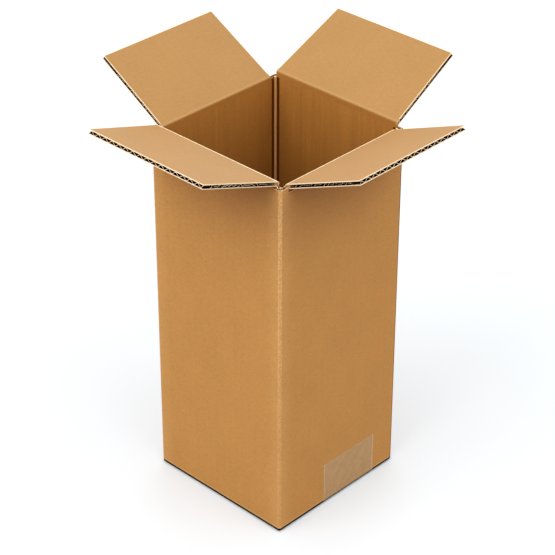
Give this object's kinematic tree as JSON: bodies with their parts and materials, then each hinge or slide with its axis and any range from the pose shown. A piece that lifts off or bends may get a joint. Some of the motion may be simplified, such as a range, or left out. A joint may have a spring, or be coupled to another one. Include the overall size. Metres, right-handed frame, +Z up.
{
  "type": "open cardboard box",
  "caption": "Tall square corrugated cardboard box with its top flaps folded open and its bottom flaps closed with clear tape.",
  "frame": {"origin": "middle of the underside, between the four walls", "axes": "+Z up through the open top; -Y out of the front wall; +X out of the right wall, which carries the turned-up tape end of the picture"},
  "size_m": [0.2158, 0.2186, 0.2843],
  "materials": {
    "board": "matt brown kraft liner",
    "tape": "clear packing tape with a satin face"
  },
  "bodies": {
    "box": {"carton_body": "board", "bottom_tape": "tape"},
    "front_flap": {"front_flap": "board"},
    "right_flap": {"right_flap": "board"},
    "back_flap": {"back_flap": "board"},
    "left_flap": {"left_flap": "board"}
  },
  "joints": [
    {"name": "front_flap_fold", "type": "hinge", "parent": "box", "child": "front_flap", "pos_m": [0, -0.0535, 0.2562], "axis": [1, 0, 0], "range_deg": [-161, 59]},
    {"name": "right_flap_fold", "type": "hinge", "parent": "box", "child": "right_flap", "pos_m": [0.0535, 0, 0.253], "axis": [0, 1, 0], "range_deg": [-157, 63]},
    {"name": "back_flap_fold", "type": "hinge", "parent": "box", "child": "back_flap", "pos_m": [0, 0.0535, 0.2562], "axis": [-1, 0, 0], "range_deg": [-149.5, 66.5]},
    {"name": "left_flap_fold", "type": "hinge", "parent": "box", "child": "left_flap", "pos_m": [-0.0535, 0, 0.253], "axis": [0, -1, 0], "range_deg": [-154.5, 69.5]}
  ]
}
